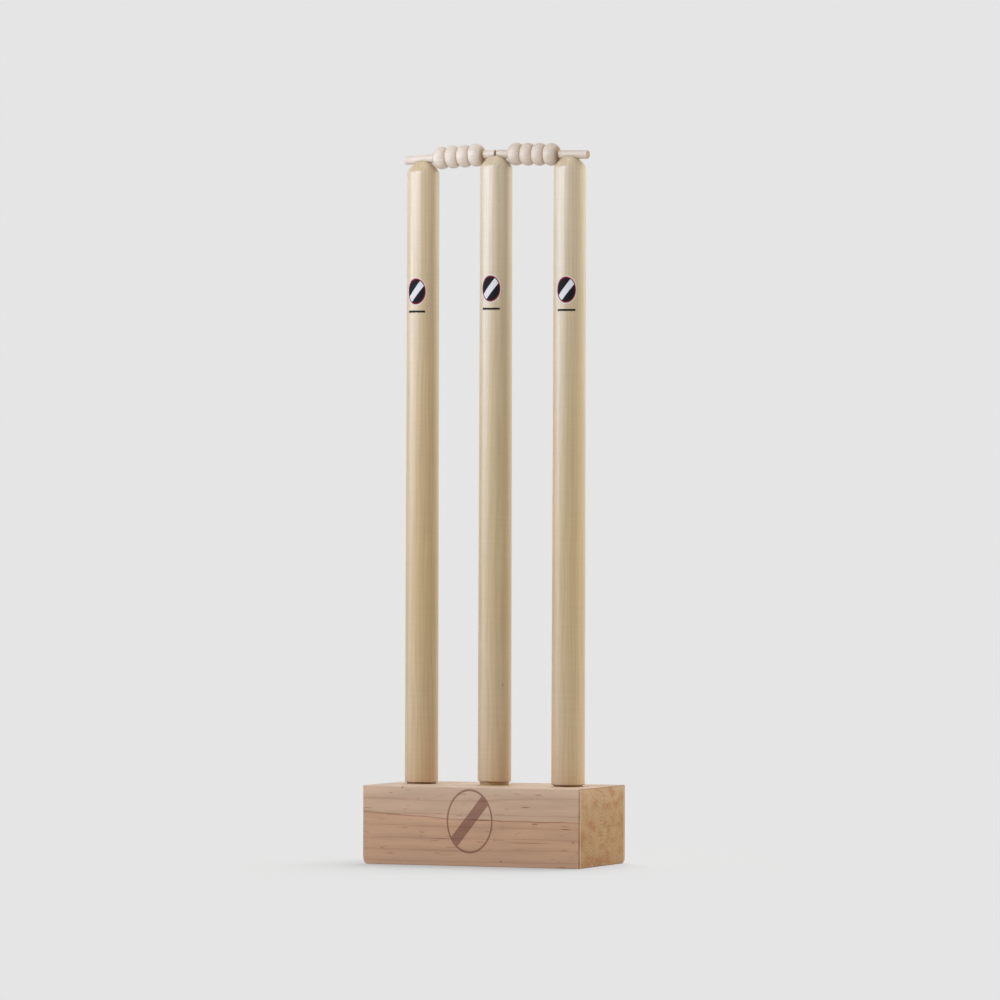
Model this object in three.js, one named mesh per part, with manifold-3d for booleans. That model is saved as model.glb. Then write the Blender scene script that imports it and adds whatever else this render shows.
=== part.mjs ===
// Cricket stumps: three turned stumps pushed into a solid timber base, with two turned bails across their heads.
// Millimetres, +Z up. X runs along the row of stumps, the front is -Y, and the origin is at the middle of the
// base's underside.
import * as THREE from "three";
import { mergeVertices } from "three/addons/utils/BufferGeometryUtils.js";
import Module from "manifold-3d";

const wasm = await Module();
wasm.setup();

// Base: a planed length of timber, with its lower corners eased more than its upper ones
const baseLength = 263.5;
const baseDepth = 139.7;
const baseHeight = 88.9;
const baseUpperCorner = 1.8;
const baseLowerCorner = 4;
const baseArris = 1.2;

// Sockets: blind holes with a flat floor, in a row along the base's top
const stumpPitch = 90;
const socketDepth = 50;
const socketClearance = 0.3;
const middleStumpRise = 2.3;

// Stump: a tenon, a tapered shaft and a domed head, turned in one piece, with the left one a little shorter
const standingHeight = 711.2;
const leftStumpShortfall = 2.4;
const footDiameter = 38.1;
const headDiameter = 36.8;
const footRound = 1.2;
const shoulderGap = 1.8;
const tenonDiameter = 33.4;
const tenonChamfer = 1.5;
const domeRise = 13.7;

// Groove: a round-bottomed channel across the dome, along the row, that a bail's spigot lies in
const grooveWidth = 12.7;
const grooveDepth = 3.4;

// Bail: a short spigot, a run of beads and a long spigot, turned in one piece
const shortSpigotLength = 14;
const longSpigotLength = 35.3;
const spigotDiameter = 9.8;
const spigotChamfer = 0.8;
const beadDiameter = 26;
const beadPitch = 14.2;
const beadCrownRadius = 10;
const beadCount = 4;
const bailSeatGap = 0.3;
const bailEndGap = 1.8;

// How finely round shapes are divided, and how far a cut runs past the face that it opens
const cornerSteps = 3;
const arrisSteps = 2;
const footSteps = 2;
const domeSteps = 8;
const beadSteps = 7;
const stumpSides = 40;
const bailSides = 24;
const cutOverrun = 5;

const stumpWood = new THREE.MeshStandardMaterial({ color: 0xdfcfae, roughness: 0.5, metalness: 0 });
const bailWood = new THREE.MeshStandardMaterial({ color: 0xdccbba, roughness: 0.65, metalness: 0 });
const baseWood = new THREE.MeshStandardMaterial({ color: 0xb8957a, roughness: 0.7, metalness: 0 });

// The dome falls away from the stump's axis as a parabola, and its groove's two lips are the stump's highest wood.
const footRadius = footDiameter / 2;
const headRadius = headDiameter / 2;
const tenonRadius = tenonDiameter / 2;
const domeHeightAt = (radius) => domeRise * (1 - (radius / headRadius) ** 2);
const lipRise = domeHeightAt(grooveWidth / 2);
const tenonLength = socketDepth + shoulderGap;
const fullHeadBase = socketDepth + standingHeight - lipRise;

// The channel's round bottom passes through both lips and the deepest line between them.
const grooveRadius = ((grooveWidth / 2) ** 2 + grooveDepth ** 2) / (2 * grooveDepth);
const grooveFloorRise = lipRise - grooveDepth;
const grooveReach = headRadius * Math.sqrt(1 - grooveFloorRise / domeRise);

// Each stump's place along the row, how much higher than the outer ones' floor its socket's floor is, and how much
// shorter than a full one it is turned
const places = {
  left: { x: -stumpPitch, rise: 0, shortfall: leftStumpShortfall },
  middle: { x: 0, rise: middleStumpRise, shortfall: 0 },
  right: { x: stumpPitch, rise: 0, shortfall: 0 },
};

function solidFrom(geometry) {
  const bare = geometry.clone();
  bare.deleteAttribute("normal");
  bare.deleteAttribute("uv");
  const merged = mergeVertices(bare);
  const triVerts = new Uint32Array(merged.index.array);
  const vertProperties = merged.attributes.position.array;
  return new wasm.Manifold(new wasm.Mesh({ numProp: 3, vertProperties, triVerts }));
}

function geometryFrom(solid) {
  const mesh = solid.getMesh();
  const geometry = new THREE.BufferGeometry();
  geometry.setAttribute("position", new THREE.BufferAttribute(mesh.vertProperties, 3));
  geometry.setIndex(new THREE.BufferAttribute(mesh.triVerts, 1));
  geometry.computeVertexNormals();
  return geometry;
}

// Revolves a list of [radius, height] points, which starts and ends on the axis, about Z.
function turned(points, sides) {
  const outline = points.map(([radius, height]) => new THREE.Vector2(radius, height));
  return new THREE.LatheGeometry(outline, sides).rotateX(Math.PI / 2);
}

// The front view of the base, with a round of its own size at the upper and the lower corners.
function baseOutline() {
  const side = baseLength / 2;
  const outline = new THREE.Shape();
  const corners = [
    [side - baseUpperCorner, baseHeight - baseUpperCorner, baseUpperCorner],
    [-side + baseUpperCorner, baseHeight - baseUpperCorner, baseUpperCorner],
    [-side + baseLowerCorner, baseLowerCorner, baseLowerCorner],
    [side - baseLowerCorner, baseLowerCorner, baseLowerCorner],
  ];
  corners.forEach(([x, z, radius], quarter) => {
    const start = (quarter * Math.PI) / 2;
    outline.absarc(x, z, radius, start, start + Math.PI / 2, false);
  });
  return outline;
}

function socketCutter(x, depth) {
  const radius = tenonRadius + socketClearance;
  const floor = baseHeight - depth;
  const mouth = baseHeight + cutOverrun;
  const hole = turned([[0, floor], [radius, floor], [radius, mouth], [0, mouth]], stumpSides);
  return solidFrom(hole.translate(x, 0, 0));
}

function baseBlock() {
  const billet = new THREE.ExtrudeGeometry(baseOutline(), {
    depth: baseDepth - 2 * baseArris,
    curveSegments: cornerSteps,
    bevelThickness: baseArris,
    bevelSize: baseArris,
    bevelOffset: -baseArris,
    bevelSegments: arrisSteps,
  });
  billet.rotateX(Math.PI / 2).translate(0, baseDepth / 2 - baseArris, 0);
  const bored = Object.values(places).reduce(
    (block, { x, rise }) => block.subtract(socketCutter(x, socketDepth - rise)),
    solidFrom(billet),
  );
  const mesh = new THREE.Mesh(geometryFrom(bored), baseWood);
  mesh.name = "base_block";
  return mesh;
}

function stumpOutline(headBase) {
  const points = [
    [0, 0],
    [tenonRadius - tenonChamfer, 0],
    [tenonRadius, tenonChamfer],
    [tenonRadius, tenonLength],
  ];
  for (let step = 0; step <= footSteps; step += 1) {
    const angle = (step / footSteps) * (Math.PI / 2);
    const radius = footRadius - footRound * (1 - Math.sin(angle));
    points.push([radius, tenonLength + footRound * (1 - Math.cos(angle))]);
  }
  for (let step = 0; step <= domeSteps; step += 1) {
    const radius = headRadius * (1 - step / domeSteps);
    points.push([radius, headBase + domeHeightAt(radius)]);
  }
  return points;
}

// Each stump stands on its own socket's floor, so the middle one's shallower socket holds it higher.
function stump(side) {
  const { x, rise, shortfall } = places[side];
  const headBase = fullHeadBase - shortfall;
  const channel = new THREE.CylinderGeometry(grooveRadius, grooveRadius, footDiameter + cutOverrun, stumpSides);
  channel.rotateZ(Math.PI / 2).translate(0, 0, headBase + grooveFloorRise + grooveRadius);
  const turning = solidFrom(turned(stumpOutline(headBase), stumpSides));
  const mesh = new THREE.Mesh(geometryFrom(turning.subtract(solidFrom(channel))), stumpWood);
  mesh.name = `stump_${side}`;
  mesh.position.set(x, 0, baseHeight - socketDepth + rise);
  return mesh;
}

// A bead's outline is one arc, which meets the next bead's in a valley and the spigots at the run's two ends.
function bailOutline() {
  const spigotRadius = spigotDiameter / 2;
  const arcOffset = beadDiameter / 2 - beadCrownRadius;
  const valleyAngle = Math.asin(beadPitch / 2 / beadCrownRadius);
  const endAngle = Math.acos((spigotRadius - arcOffset) / beadCrownRadius);
  const endReach = beadCrownRadius * Math.sin(endAngle);
  const firstCrown = shortSpigotLength + endReach;
  const length = firstCrown + (beadCount - 1) * beadPitch + endReach + longSpigotLength;
  const points = [
    [0, 0],
    [spigotRadius - spigotChamfer, 0],
    [spigotRadius, spigotChamfer],
  ];
  for (let bead = 0; bead < beadCount; bead += 1) {
    const from = bead === 0 ? -endAngle : -valleyAngle;
    const to = bead === beadCount - 1 ? endAngle : valleyAngle;
    for (let step = bead === 0 ? 0 : 1; step <= beadSteps; step += 1) {
      const angle = from + (to - from) * (step / beadSteps);
      const along = firstCrown + bead * beadPitch + beadCrownRadius * Math.sin(angle);
      points.push([arcOffset + beadCrownRadius * Math.cos(angle), along]);
    }
  }
  points.push([spigotRadius, length - spigotChamfer]);
  points.push([spigotRadius - spigotChamfer, length]);
  points.push([0, length]);
  return points;
}

// A bail slopes from the prouder middle stump to the outer one, and lies on the outer end of each groove's floor.
// It is placed at the right, and the left one then goes half a turn about the middle stump.
function bail(side) {
  const slope = (middleStumpRise + places[side].shortfall) / stumpPitch;
  const tilt = Math.atan(slope);
  const seat = baseHeight - socketDepth + middleStumpRise + fullHeadBase + grooveFloorRise;
  const axisAtReach = seat + (bailSeatGap + spigotDiameter / 2) / Math.cos(tilt);
  const mesh = new THREE.Mesh(turned(bailOutline(), bailSides).rotateY(Math.PI / 2), bailWood);
  mesh.name = `bail_${side}`;
  mesh.position.set(bailEndGap / 2, 0, axisAtReach + slope * (grooveReach - bailEndGap / 2));
  mesh.rotation.y = tilt;
  const half = new THREE.Group();
  half.rotation.z = places[side].x < 0 ? Math.PI : 0;
  half.add(mesh);
  return half;
}

const wicket = new THREE.Group();
wicket.add(baseBlock());
for (const side of ["left", "middle", "right"]) {
  wicket.add(stump(side));
}
for (const side of ["left", "right"]) {
  wicket.add(bail(side));
}

export default wicket;
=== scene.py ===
# %% [markdown]
# # Cricket stumps on a timber base
# Three turned stumps are pushed into a planed block of timber, and two turned bails lie in the grooves
# across their heads. The CAD model gives every size and place, and this script dresses it: each piece is
# modelled again with finer curves and gets a wood finish of its own. Everything is in metres, +Z is up,
# the row runs along X and the front is -Y.

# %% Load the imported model
import math

import bmesh
import bpy
from mathutils import Matrix, Vector


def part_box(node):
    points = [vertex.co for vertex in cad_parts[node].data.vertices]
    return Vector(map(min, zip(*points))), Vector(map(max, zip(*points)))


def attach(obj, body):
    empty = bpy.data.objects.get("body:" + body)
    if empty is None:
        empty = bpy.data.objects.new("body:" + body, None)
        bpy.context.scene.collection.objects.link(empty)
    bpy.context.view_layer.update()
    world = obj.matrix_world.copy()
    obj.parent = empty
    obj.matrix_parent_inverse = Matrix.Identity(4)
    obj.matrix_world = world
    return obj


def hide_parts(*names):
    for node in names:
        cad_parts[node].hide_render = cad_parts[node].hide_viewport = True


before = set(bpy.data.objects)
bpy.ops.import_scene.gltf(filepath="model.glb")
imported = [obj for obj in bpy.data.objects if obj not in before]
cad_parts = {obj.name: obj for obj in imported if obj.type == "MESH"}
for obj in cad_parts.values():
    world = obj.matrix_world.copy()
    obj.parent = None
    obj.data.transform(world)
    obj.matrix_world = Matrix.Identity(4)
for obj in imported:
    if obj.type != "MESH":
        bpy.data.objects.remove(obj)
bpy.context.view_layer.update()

MM = 0.001

# %% [markdown]
# ## Sizes
# A turner works from a few sizes: the diameters at foot and head, how high the dome rises, how wide and
# deep the groove is. They are the CAD model's own, so a finer piece fills the same place as the one it
# stands for.

# %% Sizes of the row and the stumps
base_low, base_high = (Vector(corner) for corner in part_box("base_block"))
base_top = base_high.z

stump_pitch = 90 * MM
socket_depth = 50 * MM
socket_clearance = 0.3 * MM
middle_stump_rise = 2.3 * MM

standing_height = 711.2 * MM
left_stump_shortfall = 2.4 * MM
foot_radius = 38.1 * MM / 2
head_radius = 36.8 * MM / 2
tenon_radius = 33.4 * MM / 2
tenon_chamfer = 1.5 * MM
foot_round = 1.2 * MM
shoulder_gap = 1.8 * MM
dome_rise = 13.7 * MM
groove_width = 12.7 * MM
groove_depth = 3.4 * MM


def dome_height(radius):
    return dome_rise * (1 - (radius / head_radius) ** 2)


lip_rise = dome_height(groove_width / 2)
tenon_length = socket_depth + shoulder_gap
full_head_base = socket_depth + standing_height - lip_rise
groove_radius = ((groove_width / 2) ** 2 + groove_depth**2) / (2 * groove_depth)
groove_floor_rise = lip_rise - groove_depth
groove_reach = head_radius * math.sqrt(1 - groove_floor_rise / dome_rise)
print(f"a full stump is {(full_head_base + lip_rise) / MM:.1f} mm long, tenon and all")

# %% Sizes of the bails
short_spigot = 14 * MM
long_spigot = 35.3 * MM
spigot_radius = 9.8 * MM / 2
spigot_chamfer = 0.8 * MM
bead_radius = 25.87 * MM / 2  # under the solids' 26 mm beads, whose flats cut their crowns 0.064 mm low
bead_pitch = 14.2 * MM
crown_radius = 10 * MM
bead_count = 4
bail_seat_gap = 0.3 * MM
bail_end_gap = 1.8 * MM

arc_offset = bead_radius - crown_radius
valley_angle = math.asin(bead_pitch / 2 / crown_radius)
end_angle = math.acos((spigot_radius - arc_offset) / crown_radius)
first_crown = short_spigot + crown_radius * math.sin(end_angle)
last_crown = first_crown + (bead_count - 1) * bead_pitch
bail_length = last_crown + crown_radius * math.sin(end_angle) + long_spigot
print(f"a bail is {bail_length / MM:.1f} mm long")

# %% [markdown]
# ## The camera
# The photograph was taken from far off with a long lens, a little to the right of the front and at about
# the height of the stumps' middle, so upright edges stay upright. Fitting thirty points of it gave the
# values below. The camera is set up as a matrix of its own right, up and backward directions, which holds
# its small roll too.

# %% Place the camera
camera_turn = math.radians(22.548)
camera_pitch = math.radians(-0.229)
camera_roll = math.radians(-0.189)
camera_distance = 7.145
camera_aim = Vector((4.9 * MM, 2.0 * MM, 412 * MM))
focal_share = 6.3005

backward = Vector(
    (
        math.sin(camera_turn) * math.cos(camera_pitch),
        -math.cos(camera_turn) * math.cos(camera_pitch),
        math.sin(camera_pitch),
    )
)
level_right = Vector((math.cos(camera_turn), math.sin(camera_turn), 0))
level_up = backward.cross(level_right)
right = level_right * math.cos(camera_roll) - level_up * math.sin(camera_roll)
up = level_right * math.sin(camera_roll) + level_up * math.cos(camera_roll)

camera_data = bpy.data.cameras.new("long_lens")
camera_data.sensor_width = 36
camera_data.lens = camera_data.sensor_width * focal_share
camera_data.clip_end = 200
camera = bpy.data.objects.new("long_lens", camera_data)
turned_axes = Matrix((right, up, backward)).transposed().to_4x4()
camera.matrix_world = Matrix.Translation(camera_aim + backward * camera_distance) @ turned_axes
bpy.context.scene.collection.objects.link(camera)
bpy.context.scene.camera = camera
print(f"lens {camera_data.lens:.0f} mm at {camera_distance:.2f} m")

# %% [markdown]
# ## A few helpers
# Paint and timber colours are picked as sRGB hex values, as in any picture editor, while a shader works
# in linear light, so one function turns the first into the second. Another adds a node, sets it up and
# links it, so that every tree below reads as a list of what goes into what. A node given where a socket
# is wanted stands for its first output in use. The kinds of node that come back most have short names,
# and a last helper starts a new material.

# %% Colour and node helpers
MATH = "ShaderNodeMath"
VECTOR_MATH = "ShaderNodeVectorMath"
MAP_RANGE = "ShaderNodeMapRange"
MIX = "ShaderNodeMix"
MAPPING = "ShaderNodeMapping"
SEPARATE_XYZ = "ShaderNodeSeparateXYZ"
COMBINE_XYZ = "ShaderNodeCombineXYZ"
smooth = {"interpolation_type": "SMOOTHSTEP"}


def linear(hex_colour):
    channels = [int(hex_colour[i : i + 2], 16) / 255 for i in (1, 3, 5)]
    return (*(c / 12.92 if c <= 0.04045 else ((c + 0.055) / 1.055) ** 2.4 for c in channels), 1)


def link(tree, node, values):
    for socket, value in values.items():
        if isinstance(value, bpy.types.Node):
            value = next(output for output in value.outputs if output.enabled)
        if isinstance(value, bpy.types.NodeSocket):
            tree.links.new(value, node.inputs[socket])
        else:
            node.inputs[socket].default_value = value


def add(tree, kind, links=None, **settings):
    node = tree.nodes.new(kind)
    for name, value in settings.items():
        setattr(node, name, value)
    link(tree, node, links or {})
    return node


def new_material(name):
    """A material, its tree, and the Principled shader that stands in it."""
    material = bpy.data.materials.new(name)
    material.use_nodes = True
    tree = material.node_tree
    return material, tree, tree.nodes["Principled BSDF"]


print("mid grey in linear light:", [round(c, 3) for c in linear("#808080")])

# %% [markdown]
# ## The studio
# The photograph has an even pale grey all round, with no horizon, and only a thin shadow where the block
# meets the floor. A white cyclorama does that. It also lights the object from behind and from the right,
# more than from the front, so the world here is a soft glow that is brightest in those two directions.
# The camera itself sees one even grey. The floor gives back by a faint glow what its paint soaks up, so
# that it ends as bright as the backdrop, while what stands on it still takes the light away beneath and
# beside itself.

# %% Light the room
backdrop = linear("#e5e5e5")[0]
behind = -backward
glows = {"behind": (behind, 1.05), "right": (right, 0.6)}

world = bpy.data.worlds.new("white_cyclorama")
bpy.context.scene.world = world
world.use_nodes = True
sky = world.node_tree
sky.nodes.clear()
look = add(sky, "ShaderNodeTexCoord")
total = 0.0
for direction, strength in glows.values():
    facing = add(sky, VECTOR_MATH, {0: look.outputs["Generated"], 1: direction}, operation="DOT_PRODUCT")
    share = add(sky, MATH, {0: facing, 1: 0.5, 2: 0.5}, operation="MULTIPLY_ADD")
    soft = add(sky, MATH, {0: share, 1: 2.0}, operation="POWER")
    total = add(sky, MATH, {0: soft, 1: strength, 2: total}, operation="MULTIPLY_ADD")
seen = add(sky, "ShaderNodeLightPath")
level = add(sky, MAP_RANGE, {"Value": seen.outputs["Is Camera Ray"], "To Min": total, "To Max": backdrop})
glow = add(sky, "ShaderNodeBackground", {"Color": (1, 1, 1, 1), "Strength": level})
add(sky, "ShaderNodeOutputWorld", {"Surface": glow})
print("glows:", {name: strength for name, (_, strength) in glows.items()})

# %% [markdown]
# A level floor under a glow of strength s, brightest towards one side and falling off with the square of
# (1 + cosine) / 2, receives 5/16 of s. A soft skylight high behind the row adds to that. It lights the
# floor alone, and the block alone stands in its way, so it draws a short soft shadow in front of the
# block and none from the stumps. The sum of the two tells how much glow of its own the floor needs.

# %% Lay the floor
floor_paint = 0.2
skylight_share = 1.35
skylight_lean = math.radians(38)
skylight_width = math.radians(66)
floor_light = 5 / 16 * sum(strength for _, strength in glows.values()) + skylight_share
floor_glow = backdrop - floor_paint * floor_light

floor_finish, floor_tree, paint = new_material("matt_white_studio_paint")
floor_colour = (floor_paint, floor_paint, floor_paint, 1)
link(floor_tree, paint, {"Base Color": floor_colour, "Roughness": 1, "Specular IOR Level": 0})
link(floor_tree, paint, {"Emission Color": (1, 1, 1, 1), "Emission Strength": floor_glow})

half_floor = 60
floor_mesh = bpy.data.meshes.new("studio_floor")
floor_corners = [(x * half_floor, y * half_floor, 0) for x, y in ((-1, -1), (1, -1), (1, 1), (-1, 1))]
floor_mesh.from_pydata(floor_corners, [], [(0, 1, 2, 3)])
floor_mesh.materials.append(floor_finish)
studio_floor = bpy.data.objects.new("studio_floor", floor_mesh)
bpy.context.scene.collection.objects.link(studio_floor)
floor_only = bpy.data.collections.new("floor_only")
shading_block = bpy.data.collections.new("shading_block")
for group in (floor_only, shading_block):
    bpy.context.scene.collection.children.link(group)
floor_only.objects.link(studio_floor)
skylight_data = bpy.data.lights.new("skylight", "SUN")
skylight_data.angle = skylight_width
skylight_data.energy = skylight_share * math.pi / math.cos(skylight_lean)
skylight = bpy.data.objects.new("skylight", skylight_data)
skylight.rotation_euler.x = -skylight_lean
bpy.context.scene.collection.objects.link(skylight)
skylight.light_linking.receiver_collection = floor_only
skylight.light_linking.blocker_collection = shading_block
bpy.context.scene.view_settings.view_transform = "Standard"
print(f"floor light {floor_light:.3f}, floor glow {floor_glow:.3f}, backdrop {backdrop:.3f}")

# %% [markdown]
# ## The lamps
# A large soft key lamp stands to the left of the camera, higher than the heads, and a weaker one hangs
# over the row, which shades the bails from their crowns to their undersides. Three lamps on the left are
# a little blue, as daylight from a window is, and are only seen in the lacquer. The stronger two stand
# near the heads, so their pale sheen is broad there and narrows towards the block. Three weak warm ones
# on the right keep the shaded side from going grey. All light the object alone, by light linking, which
# leaves the floor its even tone.

# %% Set up the lamps
lit_pieces = bpy.data.collections.new("lit_pieces")
bpy.context.scene.collection.children.link(lit_pieces)


def lamp(name, turn, distance, height, aim_height, width, tall, strength, colour, sheen_only=False):
    """A soft lamp, turned about the row from the camera's side, positive to the right."""
    data = bpy.data.lights.new(name, "AREA")
    data.shape = "RECTANGLE"
    data.size = width
    data.size_y = tall
    data.energy = strength
    data.color = linear(colour)[:3]
    direction = camera_turn + math.radians(turn) - math.pi / 2
    place = Vector((distance * math.cos(direction), distance * math.sin(direction), height))
    facing = place - Vector((0, 0, aim_height))
    obj = bpy.data.objects.new(name, data)
    obj.matrix_world = Matrix.Translation(place) @ facing.to_track_quat("Z", "Y").to_matrix().to_4x4()
    bpy.context.scene.collection.objects.link(obj)
    obj.light_linking.receiver_collection = lit_pieces
    obj.visible_diffuse = not sheen_only
    obj.visible_camera = False


lamp("soft_key_lamp", -50, 1.4, 1.2, 0.7, 0.9, 0.9, 18.5, "#f7faff")
lamp("overhead_lamp", 0, 0.05, 2.2, 0.6, 0.8, 0.8, 4.5, "#ffffff")
daylight = "#cadcff"
evening = "#fdf1cc"
lamp("left_window", -84, 1.3, 0.9, 0.65, 1.0, 0.8, 14.5, daylight, sheen_only=True)
lamp("high_window", -34, 1.3, 1.5, 0.6, 0.5, 0.5, 14.3, daylight, sheen_only=True)
lamp("low_left_window", -84, 1.3, 0.35, 0.3, 1.0, 0.7, 6, daylight, sheen_only=True)
lamp("right_window", 92, 1.3, 1.0, 0.6, 0.5, 0.5, 2.6, evening)
lamp("low_right_window", 80, 1.4, 0.4, 0.4, 0.5, 0.8, 3.2, evening)
lamp("evening_lamp", 118, 1.4, 0.9, 0.45, 0.5, 1.0, 2.6, evening)

# %% [markdown]
# ## Turning on a lathe, in Geometry Nodes
# A turner's piece is one outline spun about its axis. Curve to Mesh does the same: it carries the outline
# round a circle. The circle here is a metre in radius and the outline is moved in by as much, so that the
# outline's X is the radius and its Y is the height. The points on the axis then meet, and Merge by
# Distance closes them.


# %% Tree helpers and the lathe
def new_tree(name, counts=(), sizes=(), finishes=()):
    """A tree that takes a geometry, counts, sizes and finishes, and the sockets that hand them out."""
    tree = bpy.data.node_groups.new(name, "GeometryNodeTree")
    inputs = {"Geometry": ["Geometry"], "Int": counts, "Float": sizes, "Material": finishes}
    for kind, labels in inputs.items():
        for label in labels:
            tree.interface.new_socket(label, in_out="INPUT", socket_type="NodeSocket" + kind)
    tree.interface.new_socket("Geometry", in_out="OUTPUT", socket_type="NodeSocketGeometry")
    return tree, tree.nodes.new("NodeGroupInput").outputs


def end_tree(tree, geometry):
    add(tree, "NodeGroupOutput", {0: geometry})


def lathe_tree():
    rail = 1.0
    tree, given = new_tree("lathe", counts=["Sides"])
    move = {"Translation": (-rail, 0, 0), "Scale": (1, -1, 1)}
    moved = add(tree, "GeometryNodeTransform", {"Geometry": given["Geometry"], **move})
    circle = add(tree, "GeometryNodeCurvePrimitiveCircle", {"Radius": rail, "Resolution": given["Sides"]})
    spun = add(tree, "GeometryNodeCurveToMesh", {"Curve": circle, "Profile Curve": moved})
    faced = add(tree, "GeometryNodeFlipFaces", {"Mesh": spun})
    closed = add(tree, "GeometryNodeMergeByDistance", {"Geometry": faced, "Distance": 0.005 * MM})
    end_tree(tree, closed)
    return tree


lathe = lathe_tree()
print("lathe tree:", [node.bl_label for node in lathe.nodes])

# %% [markdown]
# ## From a tree to a finished mesh
# The exported model can't carry a live node tree, so each piece is made plain: the tree runs once on a
# helper object, the evaluated result is copied into a mesh, and the helper is thrown away. The mesh is
# then moved to its place point by point, which leaves the object itself at the origin, as every CAD
# part's is.


# %% Helpers that finish a piece
def outline_object(name, runs):
    """A curve with one poly spline for each run of (radius, height) points."""
    curve = bpy.data.curves.new(name, "CURVE")
    curve.dimensions = "3D"
    for run in runs:
        spline = curve.splines.new("POLY")
        spline.points.add(len(run) - 1)
        for point, (radius, height) in zip(spline.points, run):
            point.co = (radius, height, 0, 1)
    obj = bpy.data.objects.new(name, curve)
    bpy.context.scene.collection.objects.link(obj)
    return obj


def shape_from(source, tree, values):
    """Runs the tree on the source object, and returns the result as a plain mesh."""
    modifier = source.modifiers.new(tree.name, "NODES")
    modifier.node_group = tree
    for item in tree.interface.items_tree:
        if item.in_out == "INPUT" and item.name in values:
            modifier[item.identifier] = values[item.name]
    source.update_tag()
    graph = bpy.context.evaluated_depsgraph_get()
    mesh = bpy.data.meshes.new_from_object(source.evaluated_get(graph))
    source.modifiers.remove(modifier)
    bpy.data.objects.remove(source)
    return mesh


def finish_piece(name, mesh, node, body):
    """Puts a mesh in the scene for a CAD node, and says how closed it is."""
    mesh.name = name
    obj = bpy.data.objects.new(name, mesh)
    bpy.context.scene.collection.objects.link(obj)
    lit_pieces.objects.link(obj)
    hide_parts(node)
    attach(obj, body)
    check = bmesh.new()
    check.from_mesh(mesh)
    gaps = sum(not edge.is_manifold for edge in check.edges)
    volume = check.calc_volume(signed=True) * 1e6
    print(f"{name}: {len(mesh.polygons)} faces, {gaps} open edges, {volume:.1f} cm3")
    check.free()
    return obj


# %% [markdown]
# ## Patterns that the woods share
# All three woods are built up the same way: a base tone, soft lines drawn out along the fibres, and thin
# coats of darker or paler colour where something happened to the surface. So the two ways of mixing are
# written once, and so is what keeps coming back: a noise drawn out into streaks, a soft-edged band about
# a value, a length that counts some directions for less, growth rings about a pith, and a ramp of
# colours. A Mix node set to colours has its share at input 0, and the two colours at inputs 6 and 7.

# %% Mixing modes and patterns
lay_over = {"data_type": "RGBA", "blend_type": "MIX"}
deepen = {"data_type": "RGBA", "blend_type": "MULTIPLY"}


def streaks(tree, space, width, stretch, low, high, detail=3):
    """A level between low and high, in streaks of the given width, drawn out where the stretch is small."""
    drawn = add(tree, MAPPING, {"Vector": space, "Scale": stretch})
    noise = add(tree, "ShaderNodeTexNoise", {"Vector": drawn, "Scale": 1 / width, "Detail": detail})
    # Nearly all of a noise lies between 0.3 and 0.7
    spread = {"From Min": 0.3, "From Max": 0.7, "To Min": low, "To Max": high}
    return add(tree, MAP_RANGE, {"Value": noise, **spread})


def within(tree, value, centre, reach, soft):
    """1 where the value is within reach of the centre, falling to 0 over a soft edge."""
    apart = add(tree, MATH, {0: value, 1: centre}, operation="SUBTRACT")
    off = add(tree, MATH, {0: apart}, operation="ABSOLUTE")
    fall = {"From Min": reach - soft / 2, "From Max": reach + soft / 2, "To Min": 1.0, "To Max": 0.0}
    return add(tree, MAP_RANGE, {"Value": off, **fall}, **smooth)


def weighted_length(tree, vector, weights):
    """How long a vector is once its X, Y and Z are weighted."""
    weighted = add(tree, VECTOR_MATH, {0: vector, 1: weights}, operation="MULTIPLY")
    return add(tree, VECTOR_MATH, {0: weighted}, operation="LENGTH")


def rings_about(tree, space, pith, width, bend, bend_width, stretch):
    """How far through its year each point's wood grew, from 0 to 1, in rings about a pith."""
    from_pith = add(tree, MAPPING, {"Vector": space, "Location": [-c for c in pith]})
    reach = weighted_length(tree, from_pith, [0.0 if s < 1 else 1.0 for s in stretch])
    wander = streaks(tree, space, bend_width, stretch, -bend, bend, detail=2)
    bent = add(tree, MATH, {0: reach, 1: wander}, operation="ADD")
    years = add(tree, MATH, {0: bent, 1: width}, operation="DIVIDE")
    return add(tree, MATH, {0: years}, operation="FRACT")


def ramp(tree, value, stops, ease="LINEAR"):
    """A colour ramp through (position, hex colour) stops."""
    node = add(tree, "ShaderNodeValToRGB", {"Fac": value})
    node.color_ramp.interpolation = ease
    elements = node.color_ramp.elements
    while len(elements) < len(stops):
        elements.new(1.0)
    for element, (position, colour) in zip(elements, stops):
        element.position = position
        element.color = linear(colour)
    return node


print("a coat of #808080 deepens a wood to", round(linear("#808080")[0], 3), "of its colour")

# %% [markdown]
# ## The transfer
# Each stump has a small transfer on its front near the head, pressed on over the lacquer. It is a plain
# oval with a pale rim, a red line, a black field and one pale slanting band, and has a thin dark rule
# under it. It is drawn on the unrolled shaft: the angle round the stump, times the radius, is the way
# across, so the oval keeps its shape as it wraps round the wood.

# %% An oval transfer and its rule
transfer_half_width = 12.4 * MM
transfer_half_height = 15.8 * MM
transfer_height = 610 * MM
red_inset = 0.7 * MM
black_inset = 1.9 * MM
band_half_width = 3.4 * MM
across_band = (0.78, -0.62)
rule_drop = 22.9 * MM
rule_half_width = 11 * MM
rule_half_height = 1.2 * MM


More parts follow.
